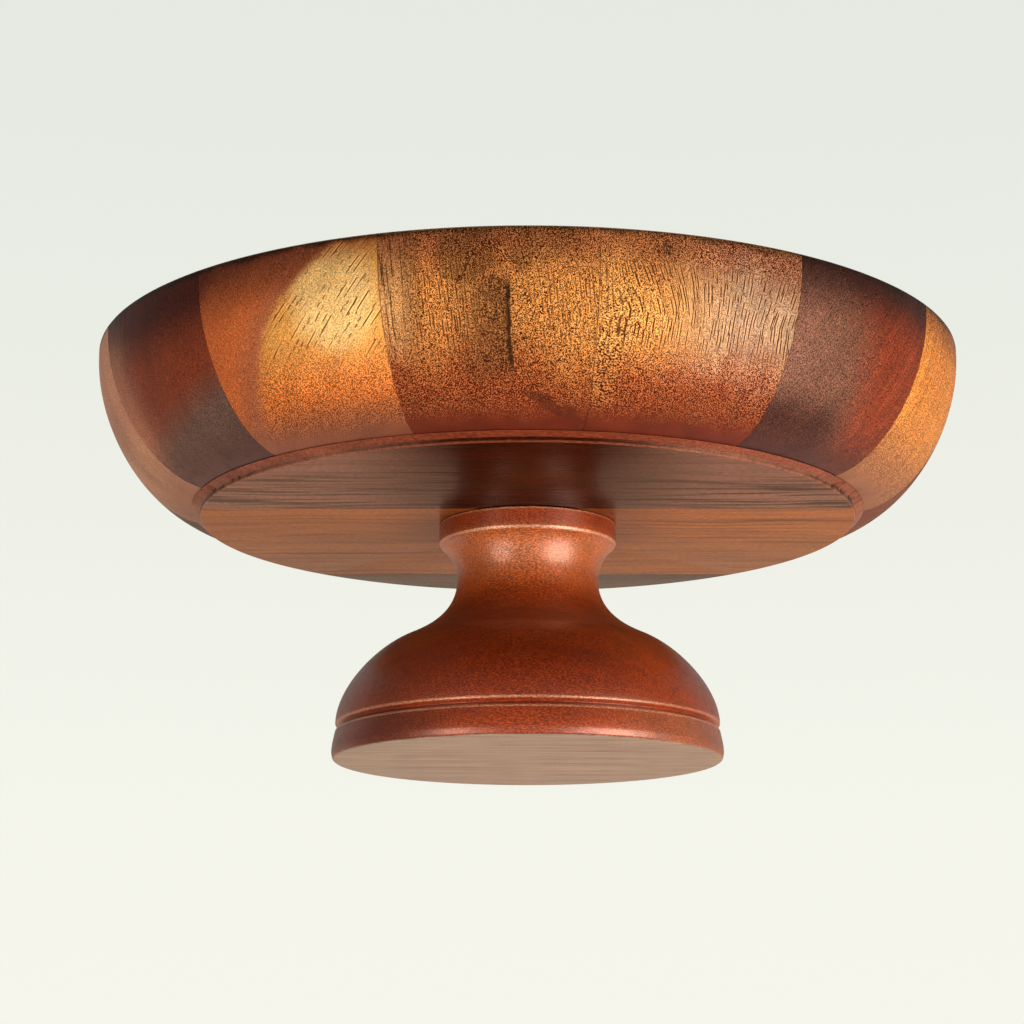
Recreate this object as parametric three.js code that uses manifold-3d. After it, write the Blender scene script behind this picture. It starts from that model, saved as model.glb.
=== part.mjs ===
// A wooden pedestal bowl: a wall of glued staves on a round base board of three edge-glued planks,
// carried by one turned pedestal that a hidden dowel fixes under the board.
// Millimetres, +Z up. The origin is the centre of the pedestal's underside, and the front is -Y.
import * as THREE from "three";
import { mergeVertices } from "three/addons/utils/BufferGeometryUtils.js";
import Module from "manifold-3d";

// Glue lines between neighbouring pieces
const GLUE_LINE = 0.2;

// Pedestal: heights are stacked from the underside up
const FOOT_RADIUS = 56.8;
const FOOT_EDGE_ROUND = 1;
const FOOT_BAND_HEIGHT = 8.2;
const FOOT_BAND_TAPER = 1;
const GROOVE_WIDTH = 2;
const GROOVE_DEPTH = 1.4;
const DOME_HEIGHT = 25.1;
const DOME_FOOT_SWEEP = 9.8;
const BELL_TURN_RADIUS = 36.7;
const BELL_TURN_SLOPE_DEG = 66;
const BELL_TURN_SWEEP = 9.4;
const COVE_HEIGHT = 18.2;
const COVE_NECK_SWEEP = 9.2;
const NECK_RADIUS = 20.75;
const FLARE_HEIGHT = 10;
const FLARE_NECK_SWEEP = 4;
const FLARE_END_SLOPE_DEG = 54.5;
const FLARE_END_SWEEP = 3.1;
const COLLAR_RADIUS = 26.1;
const COLLAR_CHAMFER_WIDTH = 0.5;
const COLLAR_CHAMFER_HEIGHT = 0.9;
const COLLAR_HEIGHT = 5.5;

// Dowel between the pedestal and the base board
const DOWEL_RADIUS = 9;
const DOWEL_IN_PEDESTAL = 28;
const DOWEL_COVER = 6;
const DOWEL_CHAMFER = 1;

// Base board
const BASE_RADIUS = 98.8;
const BASE_THICKNESS = 14;
const EDGE_ROUND = 0.4;
const EDGE_STEP_HEIGHT = 1.2;
const EDGE_LAND_HEIGHT = 1.3;
const EDGE_LAND_WIDTH = 2.5;
const FRONT_SEAM_FROM_CENTRE = 22;
const REAR_PLANK_WIDTH = 29.3;

// Wall of staves
const STAVE_COUNT = 14;
const FIRST_SEAM_DEG = -17.4;
const STAVE_TOE = 12.6;
const WALL_HEIGHT = 45.8;
const WALL_FOOT_SLOPE_DEG = 11.2;
const WALL_FOOT_SWEEP = 14.9;
const WALL_RIM_SWEEP = 18.5;
const RIM_RADIUS = 127;
const RIM_THICKNESS = 10;
const LIP_ROUND = 3;
const INSIDE_RIM_SWEEP = 17;
const INSIDE_FLOOR_SWEEP = 15;

// Facets: the steps along a swept curve and a small round, and those around each turned piece
const SWEEP_STEPS = 8;
const ROUND_STEPS = 3;
const FACETS_PER_STAVE = 4;
const PEDESTAL_FACETS = 48;
const BOARD_FACETS = 56;
const DOWEL_FACETS = 24;

// Finish: every piece that shows is lacquered, and the dowel is bare wood
const LACQUERED = 0.35;
const BARE = 0.7;
const GOLDEN = 0xb87a38;
const AMBER = 0xa8642b;
const RUSSET = 0x8a4524;
const UMBER = 0x54302a;
const TAN = 0x93653f;
const STAVE_COLOURS = [
  GOLDEN, AMBER, UMBER, GOLDEN, RUSSET, TAN, UMBER, AMBER, RUSSET, GOLDEN, UMBER, TAN, UMBER, AMBER,
];
const FRONT_PLANK_COLOUR = 0x5b3a26;
const MIDDLE_PLANK_COLOUR = 0x8a4f2c;
const REAR_PLANK_COLOUR = 0x4a3a30;
const PEDESTAL_COLOUR = 0x7a3a1c;
const DOWEL_COLOUR = 0xc09a66;

// Levels and radii that follow from the sizes above
const grooveBottom = FOOT_BAND_HEIGHT;
const bellBottom = grooveBottom + GROOVE_WIDTH;
const bellTurn = bellBottom + DOME_HEIGHT;
const neckLevel = bellTurn + COVE_HEIGHT;
const collarEdge = neckLevel + FLARE_HEIGHT;
const collarBottom = collarEdge + COLLAR_CHAMFER_HEIGHT;
const pedestalTop = collarBottom + COLLAR_HEIGHT;
const boardBottom = pedestalTop + GLUE_LINE;
const landBottom = boardBottom + EDGE_STEP_HEIGHT;
const flangeTop = landBottom + EDGE_LAND_HEIGHT;
const floorLevel = boardBottom + BASE_THICKNESS;
const wallBottom = flangeTop + GLUE_LINE;
const rimTop = wallBottom + WALL_HEIGHT;
const dowelTop = floorLevel - DOWEL_COVER;
const dowelBottom = pedestalTop - DOWEL_IN_PEDESTAL;
const dowelHoleRadius = DOWEL_RADIUS + GLUE_LINE;
const plugRadius = BASE_RADIUS - STAVE_TOE;
const toeRadius = plugRadius + GLUE_LINE;
const stavePitch = (2 * Math.PI) / STAVE_COUNT;
const pastEverything = 2 * (RIM_RADIUS + BASE_RADIUS + rimTop);

const wasm = await Module();
wasm.setup();

// A closed three.js geometry as a solid that can be cut
function solidOf(geometry) {
  geometry.deleteAttribute("normal");
  geometry.deleteAttribute("uv");
  const merged = mergeVertices(geometry);
  const mesh = new wasm.Mesh({
    numProp: 3,
    vertProperties: merged.attributes.position.array,
    triVerts: new Uint32Array(merged.index.array),
  });
  return new wasm.Manifold(mesh);
}

// A cut solid as a three.js geometry
function geometryOf(solid) {
  const { vertProperties, triVerts } = solid.getMesh();
  const geometry = new THREE.BufferGeometry();
  geometry.setAttribute("position", new THREE.BufferAttribute(vertProperties, 3));
  geometry.setIndex(new THREE.BufferAttribute(triVerts, 1));
  geometry.computeVertexNormals();
  return geometry;
}

// The points of a section: straight stretches keep their ends, rounds and sweeps are stepped
function sectionPoints(section) {
  const points = [section.curves[0].getPoint(0)];
  for (const curve of section.curves) {
    let steps = SWEEP_STEPS;
    if (curve.isLineCurve) steps = 1;
    if (curve.isEllipseCurve) steps = ROUND_STEPS;
    points.push(...curve.getPoints(steps).slice(1));
  }
  return points;
}

// A section of radius and height, turned about the upright axis from the front (-Y) towards +X
function turned(section, facets) {
  const geometry = new THREE.LatheGeometry(sectionPoints(section), facets);
  return geometry.rotateX(Math.PI / 2);
}

// A sweep from the section's last point: its handles are lengths along the slopes at both ends,
// and a slope is measured from level, turning anticlockwise from outwards
function sweepTo(section, startSlope, startSweep, radius, level, endSlope, endSweep) {
  const start = section.currentPoint;
  section.bezierCurveTo(
    start.x + startSweep * Math.cos(startSlope),
    start.y + startSweep * Math.sin(startSlope),
    radius - endSweep * Math.cos(endSlope),
    level - endSweep * Math.sin(endSlope),
    radius,
    level,
  );
}

const UP = Math.PI / 2;
const DOWN = -UP;
const INWARD = Math.PI;

function piece(name, geometry, colour, roughness) {
  const material = new THREE.MeshStandardMaterial({ color: colour, roughness, metalness: 0 });
  const mesh = new THREE.Mesh(geometry, material);
  mesh.name = name;
  return mesh;
}

// Pedestal: flat underside, tapered foot band, V groove, domed bell that turns into a necked cove,
// a flare up to the collar, and the blind dowel hole down from the collar's flat top
function pedestal() {
  const bandTopRadius = FOOT_RADIUS - FOOT_BAND_TAPER;
  const turnSlope = UP + THREE.MathUtils.degToRad(BELL_TURN_SLOPE_DEG);
  const flareEndSlope = UP - THREE.MathUtils.degToRad(FLARE_END_SLOPE_DEG);
  const section = new THREE.Path();
  section.moveTo(0, 0);
  section.lineTo(FOOT_RADIUS - FOOT_EDGE_ROUND, 0);
  section.absarc(FOOT_RADIUS - FOOT_EDGE_ROUND, FOOT_EDGE_ROUND, FOOT_EDGE_ROUND, DOWN, 0, false);
  section.lineTo(bandTopRadius, grooveBottom);
  section.lineTo(bandTopRadius - GROOVE_DEPTH, (grooveBottom + bellBottom) / 2);
  section.lineTo(bandTopRadius, bellBottom);
  sweepTo(section, UP, DOME_FOOT_SWEEP, BELL_TURN_RADIUS, bellTurn, turnSlope, BELL_TURN_SWEEP);
  sweepTo(section, turnSlope, BELL_TURN_SWEEP, NECK_RADIUS, neckLevel, UP, COVE_NECK_SWEEP);
  sweepTo(
    section, UP, FLARE_NECK_SWEEP,
    COLLAR_RADIUS - COLLAR_CHAMFER_WIDTH, collarEdge, flareEndSlope, FLARE_END_SWEEP,
  );
  section.lineTo(COLLAR_RADIUS, collarBottom);
  section.lineTo(COLLAR_RADIUS, pedestalTop);
  section.lineTo(dowelHoleRadius, pedestalTop);
  section.lineTo(dowelHoleRadius, dowelBottom);
  section.lineTo(0, dowelBottom);
  return piece("pedestal", turned(section, PEDESTAL_FACETS), PEDESTAL_COLOUR, LACQUERED);
}

// Dowel: a plain peg with chamfered ends, glued half in the pedestal and half in the board
function pedestalDowel() {
  const bottom = dowelBottom + GLUE_LINE;
  const top = dowelTop - GLUE_LINE;
  const section = new THREE.Path();
  section.moveTo(0, bottom);
  section.lineTo(DOWEL_RADIUS - DOWEL_CHAMFER, bottom);
  section.lineTo(DOWEL_RADIUS, bottom + DOWEL_CHAMFER);
  section.lineTo(DOWEL_RADIUS, top - DOWEL_CHAMFER);
  section.lineTo(DOWEL_RADIUS - DOWEL_CHAMFER, top);
  section.lineTo(0, top);
  return piece("pedestal_dowel", turned(section, DOWEL_FACETS), DOWEL_COLOUR, BARE);
}

// Base board: the blind dowel hole, a stepped and sloped edge under the staves, a flange that they
// stand on, and a plug inside their ring whose top is the bowl's floor
function baseBoard() {
  const undersideRadius = BASE_RADIUS - EDGE_LAND_WIDTH;
  const section = new THREE.Path();
  section.moveTo(0, dowelTop);
  section.lineTo(dowelHoleRadius, dowelTop);
  section.lineTo(dowelHoleRadius, boardBottom);
  section.lineTo(undersideRadius - EDGE_ROUND, boardBottom);
  section.absarc(undersideRadius - EDGE_ROUND, boardBottom + EDGE_ROUND, EDGE_ROUND, DOWN, 0, false);
  section.lineTo(undersideRadius, landBottom);
  section.lineTo(BASE_RADIUS, flangeTop);
  section.lineTo(plugRadius, flangeTop);
  section.lineTo(plugRadius, floorLevel);
  section.lineTo(0, floorLevel);
  return solidOf(turned(section, BOARD_FACETS));
}

// One plank of the board: the strip between two seams, less half a glue line at each
function basePlank(name, board, frontSeam, rearSeam, colour) {
  const width = rearSeam - frontSeam - GLUE_LINE;
  const strip = new THREE.BoxGeometry(pastEverything, width, pastEverything);
  strip.translate(0, (frontSeam + rearSeam) / 2, 0);
  return piece(name, geometryOf(board.intersect(solidOf(strip))), colour, LACQUERED);
}

// Section of the wall: flat toe on the flange, swept outside, rounded lip, and an inside that sweeps
// down into the floor
function wallSection() {
  const lip = Math.min(LIP_ROUND, RIM_THICKNESS / 2);
  const lipLevel = rimTop - lip;
  const insideRadius = RIM_RADIUS - RIM_THICKNESS;
  const footSlope = THREE.MathUtils.degToRad(WALL_FOOT_SLOPE_DEG);
  const section = new THREE.Path();
  section.moveTo(toeRadius, wallBottom);
  section.lineTo(BASE_RADIUS, wallBottom);
  sweepTo(section, footSlope, WALL_FOOT_SWEEP, RIM_RADIUS, lipLevel, UP, WALL_RIM_SWEEP);
  section.absarc(RIM_RADIUS - lip, lipLevel, lip, 0, UP, false);
  section.absarc(insideRadius + lip, lipLevel, lip, UP, INWARD, false);
  sweepTo(section, DOWN, INSIDE_RIM_SWEEP, toeRadius, floorLevel, INWARD, INSIDE_FLOOR_SWEEP);
  section.lineTo(toeRadius, wallBottom);
  return section;
}

// One stave, centred on the front: the wedge of the turned wall between two radial seams,
// with half a glue line taken off both faces
function staveGeometry() {
  const half = stavePitch / 2;
  const apex = GLUE_LINE / 2 / Math.sin(half);
  const plan = new THREE.Shape();
  plan.moveTo(0, -apex);
  plan.lineTo(-pastEverything * Math.sin(half), -apex - pastEverything * Math.cos(half));
  plan.lineTo(pastEverything * Math.sin(half), -apex - pastEverything * Math.cos(half));
  const wedge = new THREE.ExtrudeGeometry(plan, { depth: pastEverything, bevelEnabled: false });
  const wall = turned(wallSection(), STAVE_COUNT * FACETS_PER_STAVE);
  wall.rotateZ(half);
  return geometryOf(solidOf(wall).intersect(solidOf(wedge)));
}

// The bowl: pedestal, dowel, three planks and the ring of staves, numbered from the front towards +X
const bowl = new THREE.Group();
bowl.name = "pedestal_bowl";
bowl.add(pedestal(), pedestalDowel());

const board = baseBoard();
const frontSeam = -FRONT_SEAM_FROM_CENTRE;
const rearSeam = BASE_RADIUS - REAR_PLANK_WIDTH;
bowl.add(
  basePlank("base_plank_front", board, -pastEverything / 2, frontSeam, FRONT_PLANK_COLOUR),
  basePlank("base_plank_middle", board, frontSeam, rearSeam, MIDDLE_PLANK_COLOUR),
  basePlank("base_plank_rear", board, rearSeam, pastEverything / 2, REAR_PLANK_COLOUR),
);

const wallRing = new THREE.Group();
wallRing.name = "stave_ring";
wallRing.rotation.z = THREE.MathUtils.degToRad(FIRST_SEAM_DEG);
const stave = staveGeometry();
for (let index = 0; index < STAVE_COUNT; index += 1) {
  const number = String(index + 1).padStart(2, "0");
  const colour = STAVE_COLOURS[index % STAVE_COLOURS.length];
  const mesh = piece(`stave_${number}`, stave, colour, LACQUERED);
  mesh.rotation.z = (index + 0.5) * stavePitch;
  wallRing.add(mesh);
}
bowl.add(wallRing);

export default bowl;
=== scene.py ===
import math
from functools import partial

import bmesh
import bpy
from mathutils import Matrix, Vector


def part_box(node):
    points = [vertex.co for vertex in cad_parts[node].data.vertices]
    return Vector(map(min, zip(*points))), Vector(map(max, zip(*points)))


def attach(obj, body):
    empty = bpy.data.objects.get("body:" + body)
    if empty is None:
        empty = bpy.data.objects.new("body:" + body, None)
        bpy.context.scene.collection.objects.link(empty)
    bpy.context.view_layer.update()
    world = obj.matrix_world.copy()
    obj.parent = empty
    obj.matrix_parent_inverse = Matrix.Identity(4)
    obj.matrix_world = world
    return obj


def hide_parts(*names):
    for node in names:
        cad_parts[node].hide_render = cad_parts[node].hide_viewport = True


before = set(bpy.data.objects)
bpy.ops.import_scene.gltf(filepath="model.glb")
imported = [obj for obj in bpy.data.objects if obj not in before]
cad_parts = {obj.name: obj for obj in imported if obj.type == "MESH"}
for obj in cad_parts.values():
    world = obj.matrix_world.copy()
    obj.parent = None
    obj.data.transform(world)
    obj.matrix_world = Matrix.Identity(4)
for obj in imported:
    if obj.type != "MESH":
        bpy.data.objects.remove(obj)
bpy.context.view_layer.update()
MM = 0.001

# Pedestal: one block of red-brown wood with its grain lying level, turned between centres into a foot band,
# a V groove, a domed bell, a necked stem and a collar, then sanded, stained and lacquered.
# A blind hole in the collar's top takes the dowel.
FOOT_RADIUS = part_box("pedestal")[1].x / MM
PEDESTAL_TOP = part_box("pedestal")[1].z / MM
FOOT_BAND_HEIGHT = 8.2
BAND_TOP_RADIUS = FOOT_RADIUS - 1.0
GROOVE_WIDTH = 2.0
GROOVE_DEPTH = 1.4
BELL_TURN = (36.7, 35.3)
BELL_TURN_SLOPE = math.radians(90 + 66)
BELL_TURN_REACH = 9.4
NECK = (20.75, 53.5)
COLLAR_RADIUS = 26.1
COLLAR_EDGE = 63.5
COLLAR_BOTTOM = 64.4
GLUE_GAP = 0.2
DOWEL_HOLE_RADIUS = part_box("pedestal_dowel")[1].x / MM + GLUE_GAP
DOWEL_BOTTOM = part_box("pedestal_dowel")[0].z / MM - GLUE_GAP
DOWEL_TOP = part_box("pedestal_dowel")[1].z / MM + GLUE_GAP
PEDESTAL_COLUMNS = 192
SHARP_ANGLE = math.radians(28)
EASE_LIMIT = 0.45
UP = math.pi / 2
FULL_TURN = 2 * math.pi
X_AXIS = (1, 0, 0)
Y_AXIS = (0, 1, 0)
Z_AXIS = (0, 0, 1)


def sweep(start, start_slope, start_reach, end, end_slope, end_reach, steps=28):
    """Corners of one smooth turned curve after its start, as (radius, height, rounding). The slopes are its
    directions at both ends, and the reaches say how far it follows them."""
    first = (
        start[0] + start_reach * math.cos(start_slope),
        start[1] + start_reach * math.sin(start_slope),
    )
    second = (end[0] - end_reach * math.cos(end_slope), end[1] - end_reach * math.sin(end_slope))
    corners = []
    for step in range(1, steps + 1):
        t = step / steps
        weights = ((1 - t) ** 3, 3 * t * (1 - t) ** 2, 3 * t * t * (1 - t), t ** 3)
        handles = (start, first, second, end)
        radius = sum(w * point[0] for w, point in zip(weights, handles))
        height = sum(w * point[1] for w, point in zip(weights, handles))
        corners.append((radius, height, 0.0))
    return corners


def softened(corners, steps=6):
    """The turned section's points: each corner (radius, height, rounding) is eased over its rounding,
    but over less than half of a short side."""
    points = []
    for index, (radius, height, rounding) in enumerate(corners):
        here = Vector((radius, height))
        if rounding == 0:
            points.append(here)
            continue
        before = Vector(corners[index - 1][:2]) - here
        after = Vector(corners[(index + 1) % len(corners)][:2]) - here
        start = here + before.normalized() * min(rounding, EASE_LIMIT * before.length)
        end = here + after.normalized() * min(rounding, EASE_LIMIT * after.length)
        for step in range(steps + 1):
            t = step / steps
            points.append((1 - t) ** 2 * start + 2 * t * (1 - t) * here + t * t * end)
    return points


def turned(name, points, columns, start=0.0, span=FULL_TURN, closed=False):
    """A mesh object turned from a section about the upright axis, from the front (-Y) towards +X.
    A part turn gets flat faces on both its ends."""
    whole = span == FULL_TURN
    rings = columns if whole else columns + 1
    verts = []
    rows = []
    for point in points:
        if point.x == 0:
            rows.append([len(verts)] * rings)
            verts.append((0, 0, point.y * MM))
            continue
        rows.append(list(range(len(verts), len(verts) + rings)))
        for ring in range(rings):
            angle = start + span * ring / columns
            verts.append((point.x * math.sin(angle) * MM, -point.x * math.cos(angle) * MM, point.y * MM))
    faces = []
    pairs = list(zip(rows, rows[1:])) + ([(rows[-1], rows[0])] if closed else [])
    for low, high in pairs:
        for column in range(columns):
            right = (column + 1) % rings
            corner = [low[column], low[right], high[right], high[column]]
            face = [v for place, v in enumerate(corner) if v != corner[place - 1]]
            if len(face) > 2:
                faces.append(face)
    if not whole:
        faces.append([row[0] for row in rows])
        faces.append([row[-1] for row in reversed(rows)])
    mesh = bpy.data.meshes.new(name)
    mesh.from_pydata(verts, [], faces)
    return placed(name, mesh)


def placed(name, mesh):
    """The mesh as a smooth-shaded object whose real edges stay crisp."""
    mesh.shade_smooth()
    mesh.set_sharp_from_angle(angle=SHARP_ANGLE)
    piece = bpy.data.objects.new(name, mesh)
    bpy.context.scene.collection.objects.link(piece)
    return piece


class Signal:
    """One value in a finish's node tree. Arithmetic on it adds Math nodes to the tree."""

    def __init__(self, tree, socket=None):
        self.tree = tree
        self.socket = socket

    def node(self, kind, inputs=None, output=0, **settings):
        """One output of a new node: its settings are set first, then the values or links of its sockets."""
        made = self.tree.nodes.new("ShaderNode" + kind)
        for name, value in settings.items():
            setattr(made, name, value)
        for key, value in (inputs or {}).items():
            if isinstance(value, Signal):
                self.tree.links.new(value.socket, made.inputs[key])
            else:
                made.inputs[key].default_value = value
        return Signal(self.tree, made.outputs[output])

    def math(self, operation, *values):
        return self.node("Math", dict(enumerate(values)), operation=operation)

    def __add__(self, other):
        return self.math("ADD", self, other)

    __radd__ = __add__

    def __sub__(self, other):
        return self.math("SUBTRACT", self, other)

    def __rsub__(self, other):
        return self.math("SUBTRACT", other, self)

    def __mul__(self, other):
        return self.math("MULTIPLY", self, other)

    __rmul__ = __mul__

    def __truediv__(self, other):
        return self.math("DIVIDE", self, other)

    def __rtruediv__(self, other):
        return self.math("DIVIDE", other, self)

    def __or__(self, other):
        """The stronger of two masks."""
        return self.math("MAXIMUM", self, other)

    __ror__ = __or__

    def __abs__(self):
        return self.math("ABSOLUTE", self)

    def root(self):
        return self.math("SQRT", self)

    def between(self, low, high):
        """0 up to low, 1 from high on, and a smooth slope between them; low may be the greater."""
        inputs = {"Value": self, "From Min": low, "From Max": high}
        return self.node("MapRange", inputs, interpolation_type="SMOOTHSTEP")

    def over(self, below, above):
        """The colour below where this mask is 0, and the colour above where it is 1."""
        return self.node("Mix", {0: self, 6: below, 7: above}, output=2, data_type="RGBA")

    def shade(self, colour):
        """The colour made darker or lighter by this factor."""
        return self.node("VectorMath", {0: colour, "Scale": self}, operation="SCALE")


def paint(code):
    """A colour written as a web colour code, in linear light."""
    values = [int(code[place:place + 2], 16) / 255 for place in (0, 2, 4)]
    linear = [v / 12.92 if v <= 0.04045 else ((v + 0.055) / 1.055) ** 2.4 for v in values]
    return (*linear, 1.0)


# How far each mark of a plain board shows, the marks' sizes in millimetres, and its lacquer
PLAIN_WOOD = {
    "streaks": 0.45, "end": 0.5, "wander": 6.0, "seed": 0.0,
    "fibre_width": 0.24, "fibre_length": 0.28, "dark_fibres": 0.3, "pale_fibres_and_glints": 0.15, "flecks_and_glints": 0.14,
    "pores": 0.7, "pore_length": 6.0, "pore_pitch": 1.4, "pore_width": 0.3, "pore_share": 0.4, "dots": 0.6,
    "roughness": 0.38, "gloss": 0.5, "lustre": 0.0, "coat": 0.0,
}
MOTTLE = 0.7
PALE_LIFT = 0.85
LIP_SHARE = 0.7
FIBRE_RELIEF = 0.2
RELIEF_STRENGTH = 0.3
RELIEF_DEPTH = 0.1 * MM
PORE_ROUGHNESS = 0.35
STREAK_ROUGHNESS = 0.2
LACQUER_IOR = 1.5


def grain_vector(board, length, width):
    """A texture place stretched along the grain, for marks of that length and width in millimetres."""
    along, across, through = board
    return along.node("CombineXYZ", {0: across / width, 1: through / width, 2: along / length})


def grain_noise(board, length, width, detail):
    """Soft noise from 0 to 1, in marks of that length along the grain and that width across it."""
    place = grain_vector(board, length, width)
    return place.node("TexNoise", {"Vector": place, "Scale": 1.0, "Detail": detail})


def open_pores(board, length, pitch, share):
    """How far aside of the nearest pore a point lies, in millimetres, and a mask of the stretches that hold
    one. The pores have a length, a pitch across the grain and a share of the places that hold one."""
    place = grain_vector(board, length, pitch)
    cells = {"Vector": place, "Scale": 1.0}
    centre = place.node("TexVoronoi", cells, output="Position", feature="F1")
    lot = place.node("TexVoronoi", cells, output="Color", feature="F1")
    away = place.node("VectorMath", {0: place, 1: centre}, operation="SUBTRACT")
    away = place.node("VectorMath", {0: away}, operation="ABSOLUTE")
    aside = away.node("SeparateXYZ", {0: away}, output=0) * pitch
    beyond = away.node("SeparateXYZ", {0: away}, output=2)
    chance = lot.node("SeparateColor", {0: lot})
    return aside, beyond.between(0.5, 0.35) * chance.between(1.0 - share, 1.1 - share)


def measured(place, axis):
    """How far a point lies along an axis, in millimetres."""
    inputs = {0: place, 1: Vector(axis) / MM}
    return place.node("VectorMath", inputs, output="Value", operation="DOT_PRODUCT")


def level_grain(place):
    """Board places for a blank whose grain runs left to right: along the grain, across and through it."""
    return [measured(place, axis) for axis in (X_AXIS, Y_AXIS, Z_AXIS)]


def lacquered_wood(name, look, grain, figure=None):
    """Open-pored wood under a satin lacquer. grain gives a point's place in the board; figure paints the
    board's own colour zones and says how far its pores and its fine fibres show."""
    look = {**PLAIN_WOOD, **look}
    material = bpy.data.materials.new(name)
    material.use_nodes = True
    shader = material.node_tree.nodes["Principled BSDF"]
    finish = Signal(material.node_tree)
    place = finish.node("TexCoord", output="Object")
    along, across, through = grain(place)
    board = [along + look["seed"], across, through]
    drift = grain_noise(board, 60, 30, 1.0) - 0.5
    board[1] = across + drift * look["wander"]

    # Broad tone, growth streaks, then the board's own zones
    tone = grain_noise(board, 150, 20, 1.0).between(0.3, 0.7)
    ground = tone.over(paint(look["dark"]), paint(look["light"]))
    streaks = grain_noise(board, 70, 2.4, 3.0).between(0.5, 0.7)
    ground = (streaks * look["streaks"]).over(ground, paint(look["streak"]))
    open_grain = 1.0
    fine = 1.0
    if figure:
        ground, open_grain, fine = figure(place, board, ground)

    # End grain takes up more stain and turns a deeper red. On the staves, whose end axis is upright, this is
    # also painted shade that darkens the wall's downward-facing foot
    normal = finish.node("NewGeometry", output="Normal")
    inputs = {0: normal, 1: Vector(look["end_axis"])}
    facing = finish.node("VectorMath", inputs, output="Value", operation="DOT_PRODUCT")
    end_grain_and_foot_shade = abs(facing).between(0.6, 0.97)
    ground = (end_grain_and_foot_shade * look["end"]).over(ground, paint(look["end_grain_and_shade_colour"]))

    # Mottle, fine dark and pale fibres, then open pores: long dashes and short dots. The pale fibres and
    # flecks are partly painted glints of a lacquered open grain
    mottle = grain_noise(board, 30, 7, 2.0) - 0.5
    ground = (1 + mottle * MOTTLE).shade(ground)
    fibres = grain_noise(board, look["fibre_length"], look["fibre_width"], 0.0)
    dark_fibres = fibres.between(0.48, 0.41) * look["dark_fibres"] * fine
    pale_fibres_and_glints = fibres.between(0.54, 0.61) * look["pale_fibres_and_glints"] * fine
    ground = dark_fibres.over(ground, paint(look["pore"]))
    width = look["pore_width"]
    aside, held = open_pores(board, look["pore_length"], look["pore_pitch"], look["pore_share"])
    dashes = aside.between(width * 0.75, width * 0.35) * held
    lips = aside.between(width * 2.0, width * 1.2) * held
    aside, held = open_pores(board, look["pore_length"] / 4, look["pore_pitch"], look["pore_share"])
    dots = aside.between(width * 0.75, width * 0.35) * held
    open_grain = open_grain * look["pores"]
    pores = (dashes | dots * look["dots"]) * open_grain
    pale = pale_fibres_and_glints | lips * open_grain * LIP_SHARE
    ground = (1 + pale * PALE_LIFT).shade(ground)
    ground = (pale * look["flecks_and_glints"]).over(ground, paint(look["fleck_and_glint"]))
    ground = pores.over(ground, paint(look["pore"]))

    # Pores are sunk and stay rough, and the streaks are a little rougher than the wood between them
    relief = fibres * FIBRE_RELIEF - pores
    bump = finish.node("Bump", {"Strength": RELIEF_STRENGTH, "Distance": RELIEF_DEPTH, "Height": relief})
    roughness = look["roughness"] + pores * PORE_ROUGHNESS + streaks * (STREAK_ROUGHNESS * look["streaks"])
    finish.tree.links.new(ground.socket, shader.inputs["Base Color"])
    finish.tree.links.new(roughness.socket, shader.inputs["Roughness"])
    finish.tree.links.new(bump.socket, shader.inputs["Normal"])
    shader.inputs["IOR"].default_value = LACQUER_IOR
    shader.inputs["Specular IOR Level"].default_value = look["gloss"]
    shader.inputs["Metallic"].default_value = look["lustre"]
    shader.inputs["Coat Weight"].default_value = look["coat"]
    shader.inputs["Coat Roughness"].default_value = look["roughness"]
    return material


def around(value, middle, reach):
    """1 where a value lies at the middle, falling to 0 at the reach on both sides of it."""
    return abs(value - middle).between(reach, reach * 0.4)


# The levels of the pale lines at the pedestal's edges, rubbed wear and painted highlight, and how far each
# shows
RUBBED_EDGE_HIGHLIGHTS = {
    COLLAR_BOTTOM - 0.3: 0.7,
    PEDESTAL_TOP - 0.2: 0.3,
    FOOT_BAND_HEIGHT - 0.2: 0.5,
    FOOT_BAND_HEIGHT + GROOVE_WIDTH + 0.2: 0.4,
}


def pedestal_painted_light_and_rubbing(place, board, ground):
    """The pedestal is darker on its left with painted shade and paler at its neck with painted light. Its
    foot band is paler at the right end with a painted highlight and darker at the left end with painted
    shade. Pale lines at the collar's edges and the groove's lips are rubbed wear and painted highlight. It is
    bare and grey below, as bare wood and a painted reflection."""
    level = measured(place, Z_AXIS)
    side = measured(place, X_AXIS)
    # Painted shade: the pedestal darker towards its left side
    ground = (side.between(-12, -52) * 0.5).over(ground, paint("5a2a1e"))
    band = level.between(FOOT_BAND_HEIGHT + 1.3, FOOT_BAND_HEIGHT + 0.3)
    # Painted highlight: the right end of the foot band paler. Painted shade: its left end darker
    ground = (side.between(14, 50) * band * 0.4).over(ground, paint("b87c5a"))
    ground = (side.between(-14, -36) * band * 0.45).over(ground, paint("3a1814"))
    # Painted light: the neck paler and more orange
    ground = (level.between(42, 58) * level.between(67, 62) * 0.6).over(ground, paint("c06c34"))
    # Pale lines at the edges: rubbed wear and painted highlight
    edges = sum(around(level, edge, 0.5) * share for edge, share in RUBBED_EDGE_HIGHLIGHTS.items())
    underside = level.between(0.3, 0.1)
    lines = grain_noise(board, 14, 0.5, 1.0).between(0.58, 0.64)
    streaks = grain_noise(board, 40, 2.5, 2.0).between(0.4, 0.65)
    # The underside: bare grey wood and a painted reflection, with dark lines of grain
    ground = (underside * 0.8).over(ground, streaks.over(paint("989078"), paint("80664c")))
    ground = (underside * lines * 0.8).over(ground, paint("402a1c"))
    marks = 1.0 - underside * 0.6
    return edges.over(ground, paint("d89c7a")), marks, marks


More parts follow.
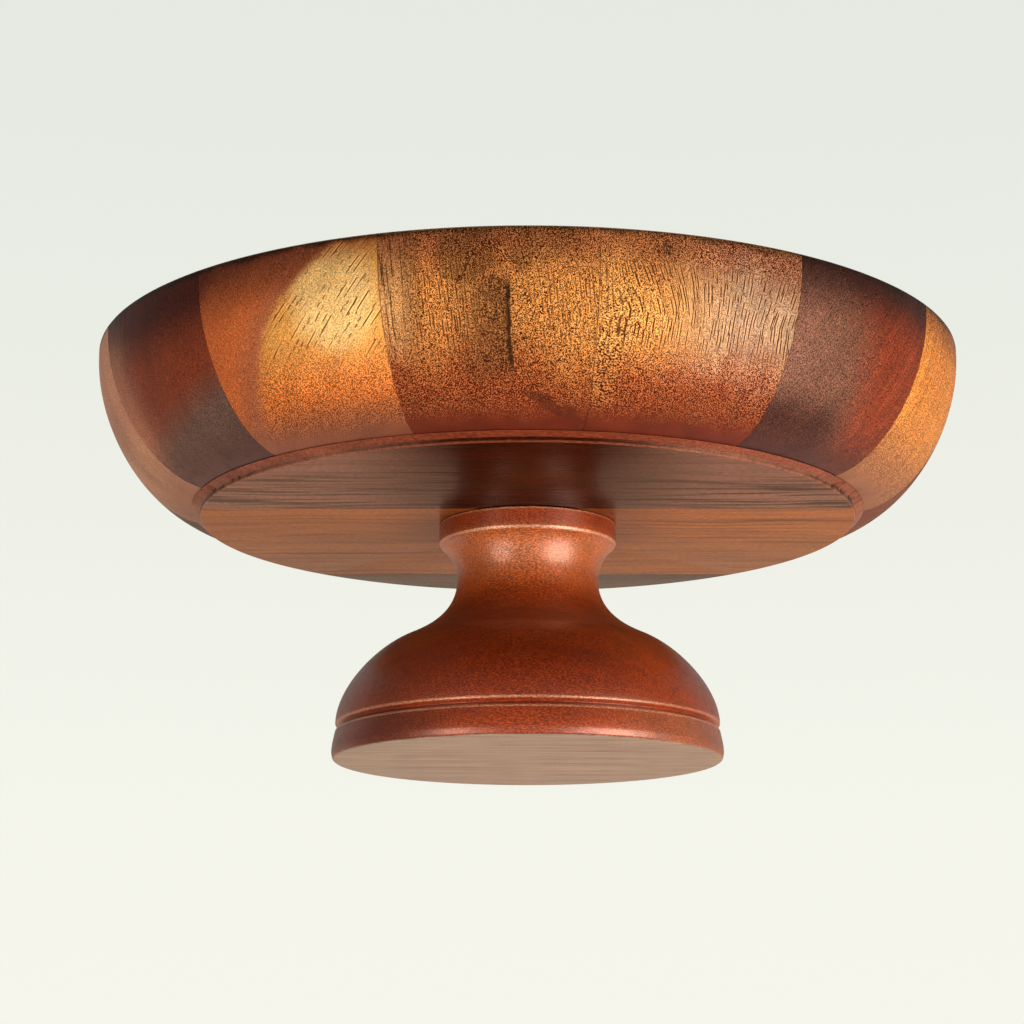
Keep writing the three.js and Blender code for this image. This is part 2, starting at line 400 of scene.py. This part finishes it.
groove_middle = FOOT_BAND_HEIGHT + GROOVE_WIDTH / 2
bell_bottom = (BAND_TOP_RADIUS, FOOT_BAND_HEIGHT + GROOVE_WIDTH)
band_low = (FOOT_RADIUS, 2.0)
pedestal_section = softened([
    (0, 0, 0),
    (FOOT_RADIUS - 0.4, 0, 0.9),
    (*band_low, 0.6),
    *sweep(band_low, UP, 2.0, (BAND_TOP_RADIUS, FOOT_BAND_HEIGHT), UP + 0.2, 2.0, 8)[:-1],
    (BAND_TOP_RADIUS, FOOT_BAND_HEIGHT, 0.35),
    (BAND_TOP_RADIUS - GROOVE_DEPTH, groove_middle, 0.3),
    (*bell_bottom, 0.35),
    *sweep(bell_bottom, UP, 9.8, BELL_TURN, BELL_TURN_SLOPE, BELL_TURN_REACH),
    *sweep(BELL_TURN, BELL_TURN_SLOPE, BELL_TURN_REACH, NECK, UP, 9.2),
    *sweep(NECK, UP, 4.0, (COLLAR_RADIUS - 0.5, COLLAR_EDGE), math.radians(90 - 54.5), 3.1),
    (COLLAR_RADIUS, COLLAR_BOTTOM, 0.4),
    (COLLAR_RADIUS, PEDESTAL_TOP, 0.15),
    (DOWEL_HOLE_RADIUS, PEDESTAL_TOP, 0),
    (DOWEL_HOLE_RADIUS, DOWEL_BOTTOM, 0),
    (0, DOWEL_BOTTOM, 0),
])
pedestal = turned("turned_pedestal", pedestal_section, PEDESTAL_COLUMNS)
pedestal_look = {
    "light": "963808", "dark": "7e2a05", "streak": "5c1c04", "pore": "380c04", "fleck_and_glint": "c87048",
    "end_grain_and_shade_colour": "8a3416", "end_axis": X_AXIS, "end": 0.3, "streaks": 0.35,
    "fibre_length": 0.7, "dark_fibres": 0.4, "pale_fibres_and_glints": 0.7, "pores": 0.1,
    "gloss": 1.0, "lustre": 0.16, "coat": 0.3,
}
pedestal.data.materials.append(lacquered_wood("pedestal_lacquer", pedestal_look, level_grain, pedestal_painted_light_and_rubbing))
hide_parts("pedestal")
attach(pedestal, "root")

# Dowel: a plain birch peg, bare and never seen, glued half into the pedestal and half into the base board.
# It keeps its own solid and only gets the look of raw wood.
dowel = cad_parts["pedestal_dowel"]
dowel.data.materials.clear()
dowel_look = {
    "light": "d2b48a", "dark": "c09a66", "streak": "a88052", "pore": "8a6238", "fleck_and_glint": "dcc49c",
    "end_grain_and_shade_colour": "b8935e", "end_axis": Z_AXIS, "pores": 0.3, "roughness": 0.7,
}


def upright_grain(place):
    """Board places for a peg whose grain runs upright."""
    return [measured(place, axis) for axis in (Z_AXIS, X_AXIS, Y_AXIS)]


dowel.data.materials.append(lacquered_wood("dowel_birch", dowel_look, upright_grain))

# Base board: three lacquered planks, edge-glued with their grain running left to right, then turned round.
# Its edge has a small step and a sloping land below the staves, its plug stands inside their ring, and it
# is glued to them and to the pedestal.
HAIRLINE = 0.12
BOARD_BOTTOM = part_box("base_plank_middle")[0].z / MM
FLOOR_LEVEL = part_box("base_plank_middle")[1].z / MM
BOARD_RADIUS = 98.8
UNDERSIDE_RADIUS = 96.3
LAND_BOTTOM = BOARD_BOTTOM + 1.2
FLANGE_TOP = LAND_BOTTOM + 1.3
PLUG_RADIUS = 86.2
FRONT_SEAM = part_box("base_plank_front")[1].y / MM + GLUE_GAP / 2
REAR_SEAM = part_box("base_plank_rear")[0].y / MM - GLUE_GAP / 2
BOARD_COLUMNS = 256

board_section = softened([
    (0, DOWEL_TOP, 0),
    (DOWEL_HOLE_RADIUS, DOWEL_TOP, 0),
    (DOWEL_HOLE_RADIUS, BOARD_BOTTOM, 0),
    (UNDERSIDE_RADIUS, BOARD_BOTTOM, 0.4),
    (UNDERSIDE_RADIUS + 0.1, LAND_BOTTOM, 0.3),
    (BOARD_RADIUS, FLANGE_TOP, 0),
    (PLUG_RADIUS, FLANGE_TOP, 0),
    (PLUG_RADIUS, FLOOR_LEVEL, 0),
    (0, FLOOR_LEVEL, 0),
])


def plank(name, front, rear):
    """The strip of the turned board between two seams, with its sawn faces closed."""
    whole = turned(name, board_section, BOARD_COLUMNS)
    shape = bmesh.new()
    shape.from_mesh(whole.data)
    for seam, outward in ((front, -1), (rear, 1)):
        if seam is None:
            continue
        saw_cut = (0, (seam - outward * HAIRLINE / 2) * MM, 0)
        everything = shape.verts[:] + shape.edges[:] + shape.faces[:]
        bmesh.ops.bisect_plane(
            shape, geom=everything, plane_co=saw_cut, plane_no=(0, outward, 0), clear_outer=True,
        )
        rims = [edge for edge in shape.edges if edge.is_boundary]
        bmesh.ops.holes_fill(shape, edges=rims)
    bmesh.ops.recalc_face_normals(shape, faces=shape.faces[:])
    shape.to_mesh(whole.data)
    shape.free()
    whole.data.set_sharp_from_angle(angle=SHARP_ANGLE)
    return whole


def from_axis(place):
    """How far a point lies from the upright axis, in millimetres."""
    across = measured(place, X_AXIS)
    depth = measured(place, Y_AXIS)
    return (across * across + depth * depth).root()


def below(place):
    """1 on the board's underside, 0 inside the bowl."""
    return measured(place, Z_AXIS).between(BOARD_BOTTOM + 4, BOARD_BOTTOM + 3)


def rubbed_rim_and_highlight(place, ground):
    """The board's lower edge is paler, from rubbed wear and a painted highlight, and the sloping land above
    it is redder.
    """
    radius = from_axis(place)
    edge = radius.between(UNDERSIDE_RADIUS - 0.7, UNDERSIDE_RADIUS - 0.3)
    edge = edge * measured(place, Z_AXIS).between(BOARD_BOTTOM + 0.7, BOARD_BOTTOM + 0.3)
    land = radius.between(UNDERSIDE_RADIUS + 0.2, UNDERSIDE_RADIUS + 0.5)
    ground = (land * 0.6).over(ground, paint("88402a"))
    # Painted highlight along the lower edge, as well as rubbing
    return (edge * 0.26).over(ground, paint("b86a4c"))


def plain_plank(place, board, ground):
    """The middle and rear planks have broad, faint, wavy streaks, and painted shade darkens them below,
    around the collar.
    """
    streaks = grain_noise(board, 70, 3.5, 2.0).between(0.45, 0.7)
    ground = (1.0 - streaks * 0.3).shade(ground)
    # Painted shade: darker below, around the collar
    ground = (from_axis(place).between(50, 27) * below(place) * 0.6).over(ground, paint("5c2412"))
    return rubbed_rim_and_highlight(place, ground), 1.0, 1.0


def dark_streaks(place, board, ground):
    """The front plank darkens in long wavy streaks towards its glued edge. A painted reflection makes it
    paler and greyer away from the middle of its underside, which stays dark around the collar as painted
    shade and reflection of the pedestal.
    """
    side = measured(place, X_AXIS)
    # Painted reflection: paler and greyer except in the middle of the underside, which stays dark as painted
    # shade
    pale_reflection = 1.0 - abs(side).between(60, 16) * below(place)
    ground = (pale_reflection * 0.8).over(ground, paint("8c6252"))
    wave = grain_noise(board, 60, 9, 3.0) - 0.5
    band = (measured(place, Y_AXIS) + wave * 40).between(-66, -42)
    lines = grain_noise(board, 45, 2.2, 3.0).between(0.47, 0.6)
    ground = (lines * (band * 0.75 + 0.2)).over(ground, paint("1c0a04"))
    return rubbed_rim_and_highlight(place, ground), 1.0, 1.0


# Each plank's front and rear seams, slot, figure and own changes of look
PLANKS = {
    "front": (None, FRONT_SEAM, "plank_dark", dark_streaks, {
        "light": "340e04", "dark": "260802", "streak": "1a0602", "pore": "1c0a06", "fleck_and_glint": "8a5a40",
        "end_grain_and_shade_colour": "4a2c20", "streaks": 0.7, "seed": 31.0,
    }),
    "middle": (FRONT_SEAM, REAR_SEAM, "plank_red", plain_plank, {
        "light": "a8622e", "dark": "905022", "streak": "5a2810", "pore": "3a1a0c", "fleck_and_glint": "b88058",
        "end_grain_and_shade_colour": "5c3626", "seed": 160.0,
    }),
    "rear": (REAR_SEAM, None, "plank_grey", plain_plank, {
        "light": "4a4038", "dark": "3e342c", "streak": "201814", "pore": "16100c", "fleck_and_glint": "6a5a4c",
        "end_grain_and_shade_colour": "30261f", "streaks": 0.5, "seed": 290.0,
    }),
}
PLANK_LOOK = {
    "end_axis": X_AXIS, "wander": 14.0, "fibre_length": 1.5, "pale_fibres_and_glints": 0.3,
    "pores": 0.25, "pore_length": 10.0, "roughness": 0.2, "gloss": 0.04,
}
for side, (front, rear, slot, figure, changes) in PLANKS.items():
    board_plank = plank(f"turned_plank_{side}", front, rear)
    look = {**PLANK_LOOK, **changes}
    board_plank.data.materials.append(lacquered_wood(f"plank_{side}_lacquer", look, level_grain, figure))
    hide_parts(f"base_plank_{side}")
    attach(board_plank, "root")

# Wall staves: fourteen tapered blocks with upright grain, glued edge to edge into a ring on the board's
# flange, then turned inside and out, with a rounded lip, and lacquered. Each is cut from another board,
# so each has its own colour and figure.
STAVE_COUNT = 14
STAVE_PITCH = FULL_TURN / STAVE_COUNT
STAVE_COLUMNS = 24
FIRST_SEAM = math.radians(-17.4)
WALL_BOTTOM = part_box("stave_01")[0].z / MM
RIM_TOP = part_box("stave_01")[1].z / MM
RIM_RADIUS = 127.0
RIM_THICKNESS = 10.0
LIP_ROUND = 3.0
TOE_RADIUS = PLUG_RADIUS + HAIRLINE
INSIDE_RADIUS = RIM_RADIUS - RIM_THICKNESS
SEAM_ANGLE = HAIRLINE / RIM_RADIUS
BULGE_TOP = RIM_TOP - 1.6
BULGE_DEPTH = 19.0
BULGE_CURVE = 0.0115
BULGE_SLOPE = 2 * BULGE_CURVE * BULGE_DEPTH
RIM_SHADE_LINE = (RIM_TOP - 3.0, RIM_TOP - 0.8)
FILLED_FOOT = (76.5, 72.5)
lip_outside = (RIM_RADIUS, RIM_TOP - LIP_ROUND)
lip_inside = (INSIDE_RADIUS, RIM_TOP - LIP_ROUND)
wall_foot = (BOARD_RADIUS, WALL_BOTTOM)
wall_section = softened([
    (TOE_RADIUS, WALL_BOTTOM, 0),
    (*wall_foot, 0),
    *sweep(wall_foot, math.radians(11.2), 14.9, lip_outside, UP, 18.5, 40),
    (RIM_RADIUS, RIM_TOP, LIP_ROUND),
    (INSIDE_RADIUS, RIM_TOP, LIP_ROUND),
    *sweep(lip_inside, -UP, 17.0, (TOE_RADIUS, FLOOR_LEVEL), math.pi, 15.0, 32),
])


def stave_directions(middle):
    """Outwards and to the right of a stave, seen from outside."""
    return (math.sin(middle), -math.cos(middle), 0), (math.cos(middle), math.sin(middle), 0)


def stave_grain(middle, lean, sway, place):
    """Board places in a stave: its grain leans sideways, bends outwards with the wall and may fan out
    towards the rim, to the left on its left half and less to the right on its right half."""
    outward, rightward = stave_directions(middle)
    right = measured(place, rightward)
    level = measured(place, Z_AXIS)
    drop = BULGE_TOP - level
    near_rim = drop.math("MINIMUM", drop, BULGE_DEPTH)
    bend = near_rim * near_rim * BULGE_CURVE + (drop - near_rim) * BULGE_SLOPE
    if sway:
        fan = right.between(-29, -17) * (1.0 - right.between(-12, 22) * 1.7)
        right = right + (10 - near_rim) * fan * sway
    sine, cosine = math.sin(math.radians(lean)), math.cos(math.radians(lean))
    along = level * cosine + right * sine
    across = right * cosine - level * sine
    return [along, across, measured(place, outward) + bend]


def blot(right, level, at, half, turn):
    """A soft oval mark: its centre, its half width and half height, and its turn to the left in degrees."""
    sine, cosine = math.sin(math.radians(turn)), math.cos(math.radians(turn))
    side = (right - at[0]) * (cosine / half[0]) + (level - at[1]) * (sine / half[0])
    rise = (level - at[1]) * (cosine / half[1]) - (right - at[0]) * (sine / half[1])
    return (side * side + rise * rise).between(1.3, 0.3)


def sap_and_heart(right, level, board, ground):
    """Stave 14: golden sapwood right of a curved line and red heartwood left of it. Painted shade darkens
    both towards the rim and the sapwood towards the foot, and a painted highlight pales the sapwood's middle.
    """
    rise = level - 101.3
    bow = (rise * rise + 40).root()
    sap = (right + 6.4 - rise * 0.95 - bow * 0.5) / 1.4
    # Painted shade: the heartwood darker towards the rim
    heart = (level - right * 0.2).between(103, 121).over(paint("ca6a38"), paint("58281e"))
    heart = (sap.between(-8, -1.5) * level.between(113, 105) * 0.6).over(heart, paint("9a5e44"))
    heart = (sap.between(-16, -5) * level.between(103, 111) * 0.5).over(heart, paint("46241e"))
    golden = level.between(80, 98).over(paint("d47430"), paint("d89c4e"))
    # Painted highlight: a paler oval in the sapwood's middle
    golden = (blot(right, level, (15, 103.5), (13, 14), -30) * 0.7).over(golden, paint("e8c888"))
    # Painted shade: the sapwood darker towards the rim and towards the foot
    golden = level.between(109.5, 119).over(golden, paint("985028"))
    golden = (level.between(82, 74) * 0.6).over(golden, paint("94482a"))
    shown = sap.between(-2.2, 1.6)
    patches = grain_noise(board, 9, 4, 1.0).between(0.4, 0.56) * 0.75 + 0.25
    open_grain = shown * level.between(84, 93) * patches * 0.9 + 0.1
    return shown.over(heart, golden), open_grain, 0.5 + shown * level.between(94, 84) * 0.5


def rim_and_foot_shade(level, board, ground, near_seam):
    """Painted shade: darker towards the rim and a deeper red, in patches, towards the foot of the wall. Near
    the seam between staves 1 and 2 the red starts lower."""
    level = level + (grain_noise(board, 25, 9, 1.0) - 0.5) * 11
    ground = (level.between(101, 116) * 0.78).over(ground, paint("722f26"))
    return ((level + near_seam * 5).between(98, 79) * 0.95).over(ground, paint("701402"))


def above_foot(level):
    """How far the finest fibres show: hardly at all at the wall's foot."""
    return level.between(72.5, 79.5) * 0.85 + 0.15


def flame(right, level, board, ground):
    """Stave 1: thin dark lines on a paler left edge, a dark flame that ends in a straight black line on its
    right, a dark plume and a dark cloud at the rim, and a dark fold at the lower right."""
    streaks = grain_noise(board, 30, 0.45, 1.0)
    edge = right.between(-17, -23) * level.between(82, 92)
    ground = (right.between(6, 3) * 0.6).over(ground, paint("a0602a"))
    ground = (edge * 0.6).over(ground, paint("c89c68"))

    left_of_line = right.between(5.8, 5.3)
    body = right.between(-12, 1) * 0.9 + right.between(0, 5) * 0.2
    body = body * left_of_line * level.between(79, 86) * level.between(109, 101)
    plume = blot(right, level, (9.6, 112.5), (3.4, 8), -20)
    plume = plume | blot(right, level, (13, 115), (11, 7), 0) * 0.6
    cloud = blot(right, level, (-5, 111.5), (9, 9), 20)
    stain = (body | plume * 0.85 | cloud * 0.85) * (streaks.between(0.48, 0.55) * 0.35 + 0.65)
    right_of_line = right.between(5.4, 5.8) * right.between(13, 6)
    beyond = right_of_line * level.between(84, 91) * level.between(108, 100)
    shade = around(right, -19.5, 3.5) * level.between(80, 88)
    shoulder = blot(right, level, (2, 102), (6, 4), -20) * left_of_line
    stain = stain | beyond * 0.25 | shade * 0.4 | shoulder * 0.85
    stain = stain | edge * streaks.between(0.56, 0.61) * 0.95
    # Painted shade towards the rim and the foot
    ground = rim_and_foot_shade(level, board, ground, right.between(10, 24))
    ground = (stain * 0.92).over(ground, paint("240a04"))

    ragged = grain_noise(board, 5, 2, 1.0).between(0.3, 0.6)
    line = right.between(4.0, 4.9) * right.between(5.8, 5.4) * (ragged * 0.5 + 0.4)
    line = line * level.between(82, 86) * level.between(105, 101)
    fold = blot(right, level, (13.5, 77), (7, 1.6), -20) | blot(right, level, (20.5, 73.8), (5, 1.9), -40)
    mark = line | fold * 0.75
    ground = mark.over(ground, paint("180602"))

    dashed = right.between(-24, -16) * right.between(2, -8) | right.between(7, 12) * 0.7
    dashed = dashed * level.between(84, 92) * level.between(112, 104)
    calm = mark * 0.9 | edge * 0.4
    return ground, dashed * 0.8 + 0.1, (1.0 - calm) * above_foot(level)


def knot(right, level, board, ground):
    """Stave 2: one small dark knot near the rim, and a paler, duller right half."""
    ground = (right.between(-16, 12) * 0.7).over(ground, paint("8c8074"))
    # Painted shade towards the rim and the foot
    ground = rim_and_foot_shade(level, board, ground, right.between(-10, -24))
    eye = blot(right, level, (-11.1, 113.7), (2.0, 2.6), 0)
    halo = blot(right, level, (-11.1, 114.5), (5.0, 6.0), 0)
    ground = ((eye | halo * 0.4) * 0.85).over(ground, paint("3a1c18"))
    dashed = (right.between(-27, -18) * 0.5 + 0.5) * level.between(86, 93) * level.between(113, 107)
    fine = 1.0 - dashed * right.between(-18, -4) * 0.5
    return ground, dashed * 0.95 + 0.05, fine * above_foot(level)


def grey_and_red(right, level, board, ground):
    """Stave 3: grey-brown on the left, red-brown on the right, and nearly black at the rim with painted
    shade.
    """
    tone = (right + (level - 96) * 0.3).between(-10, 12).over(paint("764e3e"), paint("82341a"))
    lines = grain_noise(board, 25, 1.4, 2.0).between(0.45, 0.65) * right.between(-4, 10)
    tone = (lines * 0.4).over(tone, paint("a84826"))
    # Painted shade: nearly black towards the rim
    tone = level.between(101, 117).over(tone, paint("2c1412"))
    tone = (level.between(88, 78) * right.between(8, -6) * 0.88).over(tone, paint("30120c"))
    return tone, 0.6, 1.0


def shaded_rim(right, level, board, ground):
    """Stave 4: plain but for painted shade that darkens its rim and foot."""
    ground = (level.between(94, 76) * 0.75).over(ground, paint("a46c44"))
    return (level.between(106, 117) * 0.75).over(ground, paint("6c341e")), 1.0, 1.0


def paler_foot(right, level, board, ground):
    """Stave 12: red-brown towards the rim, duller below the middle and paler at the foot."""
    ground = (level.between(77, 94) * 0.9).over(ground, paint("c98669"))
    return (around(level, 86, 16) * 0.4).over(ground, paint("94624c")), 0.3, 0.5


def dusk(right, level, board, ground):
    """Stave 13: red-brown, dark at the rim with painted shade, paler at its left edge with a painted sheen,
    and grey at the lower right.
    """
    # Painted shade: dark towards the rim
    tone = level.between(96, 112).over(paint("80381e"), paint("401814"))
    # Painted sheen: paler towards the left edge
    tone = (right.between(-6, -26) * level.between(118, 104) * 0.75).over(tone, paint("b4785e"))
    grey = (right * 0.2 + 85.0 - level).between(-5, 6)
    return (grey * 0.9).over(tone, paint("625048")), 0.4, 0.6


def stave_figure(figure, middle, place, board, ground):
    """A stave's own figure at a point, a little wavering, with painted shade that darkens its lip at the rim
    and an open grain that fills up towards the foot. A figure gets the millimetres right of the stave's
    middle and above the table."""
    waver = place.node("TexNoise", {"Vector": place, "Scale": 160.0, "Detail": 2.0}) - 0.5
    right = measured(place, stave_directions(middle)[1]) + waver * 2.0
    level = measured(place, Z_AXIS) + waver * 3.0
    open_grain = 1.0
    fine = 1.0
    if figure:
        ground, open_grain, fine = figure(right, level, board, ground)
    # Painted shade: the lip at the rim nearly black
    ground = (level.between(*RIM_SHADE_LINE) * 0.95).over(ground, paint("180804"))
    filled = level.between(*FILLED_FOOT)
    return ground, open_grain * (1.0 - filled), fine * (1.0 - filled)


GOLDEN = {
    "light": "cc8a40", "dark": "b8702c", "streak": "8a4e20",
    "pore": "3c1000", "fleck_and_glint": "f0c090", "end_grain_and_shade_colour": "6c2e1e",
}
AMBER = {
    "light": "c28a48", "dark": "b0763a", "streak": "8a5228",
    "pore": "3c1000", "fleck_and_glint": "f0bc84", "end_grain_and_shade_colour": "6c2e1e",
}
RUSSET = {
    "light": "964a22", "dark": "733318", "streak": "4e2010",
    "pore": "2c1008", "fleck_and_glint": "c07c54", "end_grain_and_shade_colour": "6e2c16",
}
UMBER = {
    "light": "6a3826", "dark": "472720", "streak": "30191a",
    "pore": "1c0e0c", "fleck_and_glint": "9c6852", "end_grain_and_shade_colour": "4a241c",
}
TAN = {
    "light": "b07846", "dark": "925c34", "streak": "6a4226",
    "pore": "3c2212", "fleck_and_glint": "dcb084", "end_grain_and_shade_colour": "7a4428",
}
FINE = {
    "fleck_and_glint": "f0b26e", "flecks_and_glints": 0.2, "dark_fibres": 1.0, "pale_fibres_and_glints": 1.5,
    "pores": 0.95, "pore_length": 4.5, "pore_pitch": 1.2, "pore_width": 0.34, "pore_share": 0.7,
    "dots": 0.3, "gloss": 0.1, "lustre": 0.24,
}
STAVE_LOOK = {
    "dark_fibres": 0.75, "pale_fibres_and_glints": 0.9, "end": 0.85, "end_axis": Z_AXIS,
    "roughness": 0.46, "gloss": 0.25, "lustre": 0.2,
}
SEED_STEP = 37.0

# Each stave's slot, palette, lean of the grain in degrees, fan of the grain, figure and own changes of look
STAVES = [
    ("stave_golden", AMBER, -6, 0, flame, FINE),
    ("stave_amber", AMBER, 0, 0.4, knot, FINE),
    ("stave_umber", UMBER, 28, 0, grey_and_red, {}),
    ("stave_golden", GOLDEN, 5, 0, shaded_rim, {
        "light": "ee9a42", "dark": "de8436", "end_grain_and_shade_colour": "8c5c44",
    }),
    ("stave_russet", RUSSET, -8, 0, None, {}),
    ("stave_tan", TAN, 12, 0, None, {}),
    ("stave_umber", UMBER, -15, 0, None, {}),
    ("stave_amber", AMBER, 6, 0, None, {}),
    ("stave_russet", RUSSET, 16, 0, None, {}),
    ("stave_golden", GOLDEN, -10, 0, None, {}),
    ("stave_umber", UMBER, 4, 0, None, {}),
    ("stave_tan", TAN, -6, 0, paler_foot, {
        "light": "e8ad83", "dark": "d09a72", "streaks": 0.2, "lustre": 0.15, "gloss": 0.5,
    }),
    ("stave_umber", UMBER, 10, 0, dusk, {}),
    ("stave_amber", AMBER, 46, 0, sap_and_heart, {
        "pores": 0.9, "pore_length": 7.0, "pore_pitch": 1.5, "dots": 0.8,
        "end": 0.75, "end_grain_and_shade_colour": "7a4a38", "lustre": 0.35,
    }),
]
for index, (slot, wood, lean, sway, figure, changes) in enumerate(STAVES):
    number = f"{index + 1:02d}"
    start = FIRST_SEAM + index * STAVE_PITCH
    middle = start + STAVE_PITCH / 2
    left_edge = start + SEAM_ANGLE / 2
    width = STAVE_PITCH - SEAM_ANGLE
    stave = turned(f"turned_stave_{number}", wall_section, STAVE_COLUMNS, left_edge, width, closed=True)
    look = {**STAVE_LOOK, **wood, "seed": SEED_STEP * index, **changes}
    grain = partial(stave_grain, middle, lean, sway)
    own_figure = partial(stave_figure, figure, middle)
    stave.data.materials.append(lacquered_wood(f"stave_{number}_lacquer", look, grain, own_figure))
    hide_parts(f"stave_{number}")
    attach(stave, "root")

# Stage: a pale paper sheet under the foot, soft lamps and a pale surround. The photograph looks up from
# below the foot, so the sheet shows only from above. It keeps the bowl's shadow and fades into the
# surround.
SHEET_REACH = 4.0
SHEET_LEVEL = -0.2 * MM
SHEET_FADE = (0.3, 2.0)
SHEET_LIFT = 0.4
PAPER_ROUGHNESS = 0.9
sheet_corners = [(x * SHEET_REACH, y * SHEET_REACH, 0) for x, y in ((-1, -1), (1, -1), (1, 1), (-1, 1))]
sheet_mesh = bpy.data.meshes.new("pale_sheet")
sheet_mesh.from_pydata(sheet_corners, [], [(0, 1, 2, 3)])
sheet = bpy.data.objects.new("pale_sheet", sheet_mesh)
sheet.location.z = SHEET_LEVEL
bpy.context.scene.collection.objects.link(sheet)
sheet.visible_shadow = False
sheet.visible_diffuse = False
sheet.visible_glossy = False
sheet.visible_transmission = False
sheet_material = bpy.data.materials.new("pale_paper")
sheet_material.use_nodes = True
paper = Signal(sheet_material.node_tree)
paper_shader = sheet_material.node_tree.nodes["Principled BSDF"]
paper_shader.inputs["Base Color"].default_value = paint("e6e8de")
paper_shader.inputs["Roughness"].default_value = PAPER_ROUGHNESS
from_below = paper.node("NewGeometry", output="Backfacing")
sheet_place = paper.node("TexCoord", output="Object")
from_middle = paper.node("VectorMath", {0: sheet_place}, output="Value", operation="LENGTH")
hidden = from_below | from_middle.between(*SHEET_FADE)
clear = paper.node("BsdfTransparent")
bright = paper.node("Emission", {0: paint("f2f2e8")})
lifted = paper.node("LightPath", output="Is Camera Ray") * SHEET_LIFT
lit = Signal(paper.tree, paper_shader.outputs[0])
white = paper.node("MixShader", {0: lifted, 1: lit, 2: bright})
shown = paper.node("MixShader", {0: hidden, 1: white, 2: clear})
paper.tree.links.new(shown.socket, sheet_material.node_tree.nodes["Material Output"].inputs["Surface"])
sheet_mesh.materials.append(sheet_material)

world = bpy.data.worlds.new("pale_surround")
bpy.context.scene.world = world
world.use_nodes = True
sky = Signal(world.node_tree)
direction = sky.node("TexCoord", output="Generated")
upward = sky.node("SeparateXYZ", {0: direction}, output=2)
backward = sky.node("SeparateXYZ", {0: direction}, output=1)
behind = backward.between(0.2, 0.8)
backdrop = upward.between(0.0, 0.5).over(paint("f6f6ec"), paint("e4e8e0"))
low_glow = upward.between(-0.26, -0.12).over(paint("ffbe96"), paint("e6ccb4"))
low_glow = upward.between(-0.5, -0.32).over(paint("e6e2e0"), low_glow)
glow = upward.between(-0.08, 0.0).over(low_glow, paint("a8a8a0"))
room = behind.over(paint("5c5650"), upward.between(0.05, -0.1).over(paint("a8a49c"), low_glow))
camera_ray = sky.node("LightPath", output="Is Camera Ray")
glossy_ray = sky.node("LightPath", output="Is Glossy Ray")
transmission_ray = sky.node("LightPath", output="Is Transmission Ray")
surround = (camera_ray | transmission_ray).over((glossy_ray * behind).over(room, glow), backdrop)
sky.tree.links.new(surround.socket, world.node_tree.nodes["Background"].inputs["Color"])
world.node_tree.nodes["Background"].inputs["Strength"].default_value = 1.0

BOWL_CENTRE = Vector((0, 0, 0.09))
LAMP_COLOUR = (1.0, 0.88, 0.74)


def lamp(name, azimuth, elevation, distance, width, height, power, glossy=True):
    """A soft lamp aimed at the bowl; azimuth 0 is the front, turning towards +X."""
    light = bpy.data.lights.new(name, "AREA")
    light.shape = "RECTANGLE"
    light.size = width
    light.size_y = height
    light.energy = power
    light.color = LAMP_COLOUR
    body = bpy.data.objects.new(name, light)
    turn = math.radians(azimuth)
    lift = math.radians(elevation)
    away = Vector((math.sin(turn) * math.cos(lift), -math.cos(turn) * math.cos(lift), math.sin(lift)))
    body.location = BOWL_CENTRE + away * distance
    body.rotation_euler = away.to_track_quat("Z", "Y").to_euler()
    body.visible_camera = False
    body.visible_glossy = glossy
    bpy.context.scene.collection.objects.link(body)


lamp("left_lamp", azimuth=-42, elevation=-28, distance=0.9, width=0.2, height=0.6, power=3.1)
lamp("right_lamp", azimuth=51, elevation=-26, distance=0.9, width=0.5, height=0.6, power=8.5)
lamp("front_fill", azimuth=0, elevation=-24, distance=1.2, width=1.2, height=0.7, power=6.0, glossy=False)
lamp("overhead_lamp", azimuth=180, elevation=65, distance=1.3, width=1.0, height=1.0, power=10.0)

# Camera: below the foot's level and looking up, as the photograph was framed. The bowl's axis stands a
# little right of the photograph's middle, so the lens is shifted.
FOCAL_PIXELS = 2450.0
IMAGE_PIXELS = 1024.0
AXIS_PIXEL = 527.6
SENSOR_WIDTH = 36.0
CAMERA_PLACE = (0, -0.70726, -0.0935)
CAMERA_TILT = 0.233
camera = bpy.data.cameras.new("camera")
camera.sensor_width = SENSOR_WIDTH
camera.lens = SENSOR_WIDTH * FOCAL_PIXELS / IMAGE_PIXELS
camera.shift_x = (IMAGE_PIXELS / 2 - AXIS_PIXEL) / IMAGE_PIXELS
viewer = bpy.data.objects.new("camera", camera)
viewer.location = CAMERA_PLACE
viewer.rotation_euler = (math.pi / 2 + CAMERA_TILT, 0, 0)
bpy.context.scene.collection.objects.link(viewer)
bpy.context.scene.camera = viewer
bpy.context.scene.view_settings.view_transform = "Standard"
